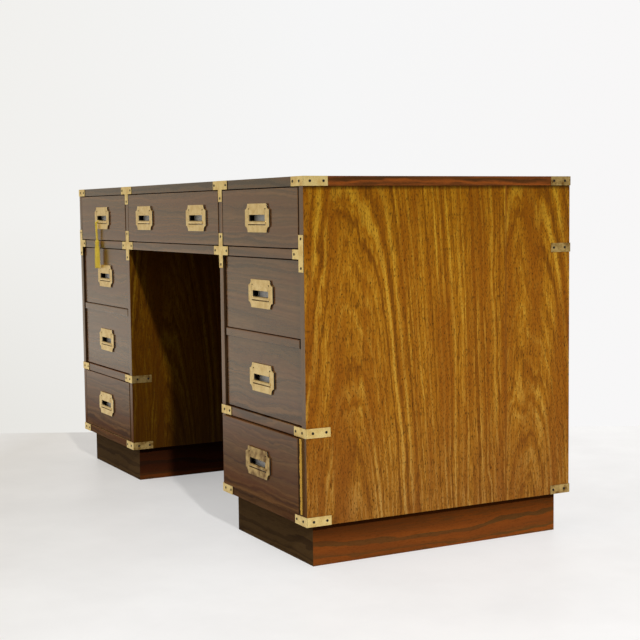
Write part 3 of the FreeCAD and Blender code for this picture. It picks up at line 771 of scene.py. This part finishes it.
class DESK_OT_tassel(bpy.types.Operator):
    """Key tassel: hitch round the bail, twisted cord, wound head and skirt of yarn."""
    bl_idname = "desk.tassel"
    bl_label = "Tassel"

    def execute(self, context):
        sizes = context.scene.desk_tassel
        hitch_low, hitch_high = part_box("tassel_hitch")
        bar = (hitch_low + hitch_high) / 2
        head_low, head_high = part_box("tassel_head")
        skirt_low, skirt_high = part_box("tassel_skirt")
        hang = (head_low + head_high) / 2
        cord_radius = 0.0025  # of the CAD solid
        start = Vector((bar.x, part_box("tassel_cord")[0].y + cord_radius, bar.z))
        end = Vector((hang.x, hang.y, head_high.z))
        route = [start, start + Vector((0, 0, -0.012)), end + Vector((0, -0.0003, 0.015)), end]
        cord = self.cord(sizes, route)
        self.hitch(sizes, bar, hitch_low, hitch_high)
        head = self.head(sizes, hang, head_low, head_high)
        skirt = self.skirt(sizes, hang, skirt_low, skirt_high)
        for piece in (cord["piece"], head, skirt):
            lay_materials(piece, [rayon_yarn()])
        return {"FINISHED"}

    @staticmethod
    def strands(name, runs, radius):
        """Mesh of round strands along lists of points."""
        line = bpy.data.curves.new(name, "CURVE")
        line.dimensions = "3D"
        line.bevel_depth = radius
        line.bevel_resolution = 1
        line.use_fill_caps = True
        line.resolution_u = 2
        for points in runs:
            spline = line.splines.new("NURBS")
            spline.points.add(len(points) - 1)
            for knot, place in zip(spline.points, points):
                knot.co = (*place, 1)
            spline.order_u = 3
            spline.use_endpoint_u = True
        piece = new_object(name, line)
        if radius:
            bpy.ops.object.convert(target="MESH")
            bpy.ops.object.shade_smooth()
        return piece

    def cord(self, sizes, route):
        """Plies twisted round the route's smooth line."""
        guide = self.strands("cord_route", [route], 0)
        guide.data.resolution_u = 16
        line = bpy.data.meshes.new_from_object(guide)
        path = [corner.co.copy() for corner in line.vertices]
        bpy.data.objects.remove(guide)
        ply = sizes.cord * math.sin(math.pi / sizes.plies) / (1 + math.sin(math.pi / sizes.plies))
        runs = []
        for k in range(sizes.plies):
            run = []
            for place in path:
                turn = 2 * math.pi * (k / sizes.plies + (path[0].z - place.z) / sizes.pitch)
                run.append(place + (sizes.cord - ply) * Vector((math.cos(turn), math.sin(turn), 0)))
            runs.append(run)
        piece = self.strands("tassel_cord_twisted", runs, ply)
        return {"piece": stand_for(piece, "tassel_cord"), "path": path}

    def hitch(self, sizes, bar, low, high):
        """Fine cord looped closely round the bail's bar."""
        radius = (high.z - low.z) / 2 - sizes.hitch
        turns = (high.x - low.x) / (2 * sizes.hitch)
        steps = int(turns * 10)
        run = []
        for k in range(steps + 1):
            angle = 2 * math.pi * turns * k / steps - math.pi / 2
            x = low.x + sizes.hitch + (high.x - low.x - 2 * sizes.hitch) * k / steps
            run.append(Vector((x, bar.y + radius * math.cos(angle), bar.z + radius * math.sin(angle))))
        piece = self.strands("tassel_hitch_looped", [run], sizes.hitch)
        lay_materials(piece, [rayon_yarn()])
        stand_for(piece, "tassel_hitch")

    @staticmethod
    def turned(name, profile, middle):
        """Round core spun from radius and height pairs, top first."""
        bpy.ops.object.select_all(action="DESELECT")
        mesh = bpy.data.meshes.new(name)
        corners = [(middle.x + radius, middle.y, z) for radius, z in profile]
        mesh.from_pydata(corners, [(k, k + 1) for k in range(len(corners) - 1)], [])
        piece = new_object(name, mesh)
        bpy.ops.object.mode_set(mode="EDIT")
        bpy.ops.mesh.select_all(action="SELECT")
        bpy.ops.mesh.spin(steps=20, angle=2 * math.pi, center=(middle.x, middle.y, 0), axis=(0, 0, 1))
        bpy.ops.mesh.select_all(action="SELECT")
        bpy.ops.mesh.remove_doubles(threshold=1e-5)
        bpy.ops.mesh.normals_make_consistent(inside=False)
        bpy.ops.object.mode_set(mode="OBJECT")
        bpy.ops.object.shade_smooth()
        return piece

    def head(self, sizes, hang, low, high):
        """Yarn wound round a knob, over a core that fills it."""
        radius = (high.x - low.x) / 2
        tall = high.z - low.z
        # shares of the head's radius, and of its height from the top
        shape = [(0.38, 0.0), (0.7, 0.12), (0.95, 0.32), (1.0, 0.5), (0.95, 0.75), (0.88, 1.0)]
        turns = int(tall / (1.7 * sizes.winding))
        run = []
        for k in range(turns * 12 + 1):
            down = k / (turns * 12)
            above = max(place for place in range(len(shape) - 1) if shape[place][1] <= down)
            (r0, d0), (r1, d1) = shape[above], shape[above + 1]
            reach = radius * (r0 + (r1 - r0) * (down - d0) / (d1 - d0)) - sizes.winding
            angle = 2 * math.pi * turns * down
            z = high.z - sizes.winding - (tall - 2 * sizes.winding) * down
            run.append(Vector((hang.x + reach * math.cos(angle), hang.y + reach * math.sin(angle), z)))
        winding = self.strands("tassel_head_wound", [run], sizes.winding)
        inset = 0.0002
        profile = [(0, high.z - inset)]
        profile += [(radius * r - 1.5 * sizes.winding, high.z - inset - (tall - 2 * inset) * down)
                    for r, down in shape]
        profile += [(0, low.z + inset)]
        core = self.turned("tassel_head_core", profile, hang)
        return self.joined(winding, core, "tassel_head")

    def skirt(self, sizes, hang, low, high):
        """Strands of yarn that fall from the neck, over a core that fills them."""
        chance = random.Random(11)
        neck = 0.0056  # radius of the yarn where it is tied
        reach = (high.x - low.x) / 2 - sizes.strand
        tall = high.z - low.z
        runs = []
        # rings of strands: share of the skirt's radius, and how many
        for ring, count in ((1.0, 38), (0.86, 32), (0.7, 24)):
            for k in range(count):
                angle = 2 * math.pi * (k + chance.uniform(-0.25, 0.25)) / count
                spread = ring * reach * chance.uniform(0.95, 1)
                drop = tall - chance.uniform(0, 0.003)
                run = []
                for down in (0, 0.12, 0.35, 0.65, 1):
                    out = ring * neck + (spread - ring * neck) * min(1, down * 1.15) ** 0.7
                    sway = angle + chance.uniform(-0.05, 0.05)
                    run.append(Vector((hang.x + out * math.cos(sway), hang.y + out * math.sin(sway),
                                       high.z - drop * down)))
                runs.append(run)
        strands = self.strands("tassel_skirt_strands", runs, sizes.strand)
        foot = low.z + 0.004
        profile = [(0, high.z), (neck * 0.6, high.z), (reach * 0.55, high.z - tall * 0.35),
                   (reach * 0.62, foot), (0, foot)]
        core = self.turned("tassel_skirt_core", profile, hang)
        return self.joined(strands, core, "tassel_skirt")

    @staticmethod
    def joined(piece, core, node):
        """Joins a core to its yarn and puts them in the node's place."""
        bpy.ops.object.select_all(action="DESELECT")
        core.select_set(True)
        piece.select_set(True)
        bpy.context.view_layer.objects.active = piece
        bpy.ops.object.join()
        return stand_for(piece, node)


# Stage

# tone of the room's walls by bearing in degrees, 0 along +X and 90 along +Y; the camera sees 138 to 166,
# the drawer fronts mirror -166 to -138 and the right end mirrors 14 to 42
ROOM_WALLS = [(-180, "#CAC4B6"), (-166, "#CEC6B7"), (-152, "#E2DBCF"), (-120, "#CCC6BA"), (-80, "#C8C6C0"),
              (-50, "#B4B3AF"), (-20, "#B0AFAB"), (5, "#CCC8C0"), (26, "#C8C4BC"), (36, "#56524A"),
              (43, "#56524A"), (58, "#D0CECA"), (95, "#E2E1DF"), (138, "#F8F7F7"), (152, "#F6F6F6"),
              (166, "#F1F0ED"), (180, "#CAC4B6")]


class DESK_OT_stage(bpy.types.Operator):
    """Camera, floor, white room and lights."""
    bl_idname = "desk.stage"
    bl_label = "Stage"

    # fitted to the desk's edges in the photograph
    camera_place = Vector((2.91385, -1.46376, 0.69584))
    camera_yaw = 1.0839
    camera_pitch = -0.0828
    camera_roll = -0.0118
    camera_lens = 74.13

    def execute(self, context):
        sizes = context.scene.desk_stage
        context.scene.view_settings.view_transform = "Standard"
        self.camera(context)
        self.floor(sizes)
        self.room(context, sizes)
        self.lamps(sizes)
        return {"FINISHED"}

    def camera(self, context):
        """Camera at the photograph's place, turned by yaw, pitch and roll."""
        ahead = Vector((-math.sin(self.camera_yaw) * math.cos(self.camera_pitch),
                        math.cos(self.camera_yaw) * math.cos(self.camera_pitch), math.sin(self.camera_pitch)))
        right = Vector((math.cos(self.camera_yaw), math.sin(self.camera_yaw), 0))
        up = right.cross(ahead)
        tilted_right = right * math.cos(self.camera_roll) + up * math.sin(self.camera_roll)
        tilted_up = up * math.cos(self.camera_roll) - right * math.sin(self.camera_roll)
        lens = bpy.data.cameras.new("camera")
        lens.lens = self.camera_lens
        camera = new_object("camera", lens)
        turn = Matrix((tilted_right, tilted_up, -ahead)).transposed().to_4x4()
        camera.matrix_world = Matrix.Translation(self.camera_place) @ turn
        context.scene.camera = camera

    def floor(self, sizes):
        """Painted concrete that ends where the wall stands in the photograph."""
        ahead = Vector((-math.sin(self.camera_yaw), math.cos(self.camera_yaw), 0))
        width, behind = 36, 14.0
        middle = self.camera_place.copy()
        middle.z = 0
        middle += ahead * (sizes.wall_distance - behind) / 2
        bpy.ops.object.select_all(action="DESELECT")
        bpy.ops.mesh.primitive_plane_add(size=1, location=middle, rotation=(0, 0, self.camera_yaw))
        floor = bpy.context.object
        floor.scale = (width, sizes.wall_distance + behind, 1)
        bpy.ops.object.transform_apply(location=True, rotation=True, scale=True)
        floor.name = "floor"
        material = new_material("painted_concrete")
        tree = material.node_tree
        place = shade(tree, "TexCoord").node.outputs["Object"]
        # scuffs and clouds in the paint, 0.1 to 0.6 m wide
        clouds = shade(tree, "TexNoise", {"Vector": place, "Scale": 2.2, "Detail": 5, "Roughness": 0.6})
        worn = [channel * 0.94 for channel in sizes.floor]
        painted = shade(tree, "ValToRGB", {0: clouds}, stops=[(0.35, worn), (0.6, sizes.floor)])
        # painted shade: the floor darkens and warms from the desk's back right corner towards its front left
        # one
        along = shade(tree, "VectorMath", {0: place, 1: (0.6, 0.8, 0)},
                      operation="DOT_PRODUCT").node.outputs["Value"]
        near = shade(tree, "MapRange", {0: along, 1: -0.9, 2: -0.05})
        dimming = shade(tree, "MixRGB", {0: near, 1: (0.53, 0.49, 0.42, 1), 2: (0.95, 0.95, 0.95, 1)})
        dimmed = shade(tree, "MixRGB", {0: 1, 1: painted, 2: dimming}, blend_type="MULTIPLY")
        tone = shade(tree, "MixRGB", {0: self.seen_rays(tree), 1: (*sizes.floor_bounce, 1), 2: dimmed})
        gloss = shade(tree, "MapRange", {0: clouds, 3: 0.5, 4: 0.34})
        skin = shade(tree, "BsdfPrincipled", {"Base Color": tone, "Roughness": gloss,
                                              "Specular IOR Level": 0.3})
        # the paint glares far in front of the desk, where only the drawers' varnish mirrors it
        spread = shade(tree, "MapRange", {0: along, 1: -1.5, 2: 0.6})
        lifts = [(0, 0.95), (0.28, sizes.lift), (0.48, sizes.lift), (1, 1.55 * sizes.lift)]
        lift = shade(tree, "ValToRGB", {0: spread}, stops=[(stop, [level] * 3) for stop, level in lifts])
        shown = shade(tree, "Math", {0: self.seen_rays(tree), 1: lift}, operation="MULTIPLY")
        white = shade(tree, "Emission", {"Color": painted, "Strength": 1})
        skin = shade(tree, "MixShader", {0: shown, 1: skin, 2: white})
        shade(tree, "OutputMaterial", {0: skin})
        floor.data.materials.append(material)

    @staticmethod
    def seen_rays(tree):
        """1 for rays that show the surroundings, to the camera or in metal and glass, and 0 for the rest."""
        rays = shade(tree, "LightPath").node.outputs
        mirrored = shade(tree, "Math", {0: rays["Is Glossy Ray"], 1: rays["Is Transmission Ray"]},
                         operation="ADD")
        return shade(tree, "Math", {0: rays["Is Camera Ray"], 1: mirrored}, operation="ADD", use_clamp=True)

    def room(self, context, sizes):
        """White room: its walls by bearing for the camera and reflections, and soft light for the rest."""
        world = bpy.data.worlds.new("white_room")
        world.use_nodes = True
        tree = world.node_tree
        tree.nodes.clear()
        way = shade(tree, "TexCoord").node.outputs["Generated"]
        axes = shade(tree, "SeparateXYZ", {0: way}).node.outputs
        bearing = shade(tree, "Math", {0: axes[Y], 1: axes[X]}, operation="ARCTAN2")
        turn = shade(tree, "MapRange", {0: bearing, 1: -math.pi, 2: math.pi})
        walls = shade(tree, "ValToRGB", {0: turn}, stops=[
            ((degrees + 180) / 360, linear(tone)) for degrees, tone in ROOM_WALLS])
        # the white wall before the desk, on the left, throws most light back
        shares = [(-180, sizes.room), (-165, sizes.front), (-95, sizes.front), (-80, sizes.room)]
        bounce = shade(tree, "ValToRGB", {0: turn}, stops=[
            ((degrees + 180) / 360, [part * channel for channel in sizes.wall]) for degrees, part in shares])
        high = shade(tree, "MapRange", {0: axes[Z], 1: 0.5, 2: 0.8})
        overhead = [sizes.ceiling * channel for channel in sizes.wall]
        around = shade(tree, "MixRGB", {0: high, 1: bounce, 2: (*overhead, 1)})
        light = shade(tree, "Background", {"Color": around, "Strength": 1})
        # the wall before the desk glares low down, where the lower drawers mirror it
        beneath = shade(tree, "MapRange", {0: axes[Z], 1: 0.0, 2: -0.08})
        before = shade(tree, "MapRange", {0: bearing, 1: math.radians(-95), 2: math.radians(-115)})
        glare = shade(tree, "Math", {0: beneath, 1: before}, operation="MULTIPLY")
        walls = shade(tree, "MixRGB", {0: glare, 1: walls, 2: (*linear("#FFFBF2"), 1)})
        # the desk's shade on the wall, low down at its far end
        low = shade(tree, "MapRange", {0: axes[Z], 1: 0.0, 2: -0.15, 3: 0, 4: 0.5})
        far = shade(tree, "MapRange", {0: bearing, 1: math.radians(150), 2: math.radians(166)})
        shaded = shade(tree, "Math", {0: low, 1: far}, operation="MULTIPLY")
        walls = shade(tree, "MixRGB", {0: shaded, 1: walls, 2: (*linear("#DDDBD4"), 1)})
        backdrop = shade(tree, "Background", {"Color": walls, "Strength": 1})
        mixed = shade(tree, "MixShader", {0: self.seen_rays(tree), 1: light, 2: backdrop})
        shade(tree, "OutputWorld", {0: mixed})
        context.scene.world = world

    @staticmethod
    def lamp(name, kind, place, aim, **settings):
        """Lamp at a place, aimed at a point and hidden from the camera."""
        light = bpy.data.lights.new(name, kind)
        for key, value in settings.items():
            setattr(light, key, value)
        lamp = new_object(name, light)
        turn = (Vector(aim) - Vector(place)).to_track_quat("-Z", "Y").to_matrix().to_4x4()
        lamp.matrix_world = Matrix.Translation(place) @ turn
        lamp.visible_camera = False
        return lamp

    def lamps(self, sizes):
        """Hard light from the right that reaches into the kneehole, and a soft box beside the desk."""
        self.lamp("key", "SUN", (0.858, -0.156, 0.49), (0, 0, 0), energy=sizes.key, angle=math.radians(2.2))
        box = self.lamp("fill", "AREA", (2.9, -0.4, 2.2), (0.7, 0.0, 0.4), energy=sizes.fill,
                        shape="RECTANGLE", size=1.8, size_y=2.0)
        box.visible_glossy = False


class DESK_PT_panel(bpy.types.Panel):
    """Lists the desk's groups of pieces."""
    bl_label = "Campaign desk"
    bl_idname = "DESK_PT_panel"
    bl_space_type = "VIEW_3D"
    bl_region_type = "UI"
    bl_category = "Desk"

    def draw(self, context):
        for operator in OPERATORS:
            self.layout.operator(operator.bl_idname)
        for group in GROUPS:
            box = self.layout.box()
            settings = getattr(context.scene, group)
            for name in GROUPS[group].__annotations__:
                box.prop(settings, name)


OPERATORS = [DESK_OT_stage, DESK_OT_case, DESK_OT_drawers, DESK_OT_pulls, DESK_OT_straps, DESK_OT_tassel]
GROUPS = {"desk_wood": DeskWood, "desk_brass": DeskBrass, "desk_tassel": DeskTassel, "desk_stage": DeskStage}


def register():
    """Registers the classes and gives the scene their settings."""
    for item in [*GROUPS.values(), *OPERATORS, DESK_PT_panel]:
        bpy.utils.register_class(item)
    for name, group in GROUPS.items():
        setattr(bpy.types.Scene, name, bpy.props.PointerProperty(type=group))


def unregister():
    """Takes the settings and classes away again."""
    for name in GROUPS:
        delattr(bpy.types.Scene, name)
    for item in [DESK_PT_panel, *reversed(OPERATORS), *reversed(GROUPS.values())]:
        bpy.utils.unregister_class(item)


def main():
    """Builds the desk and its stage."""
    register()
    bpy.ops.desk.stage()
    bpy.ops.desk.case()
    bpy.ops.desk.drawers()
    bpy.ops.desk.pulls()
    bpy.ops.desk.straps()
    bpy.ops.desk.tassel()


if __name__ == "__main__":
    main()
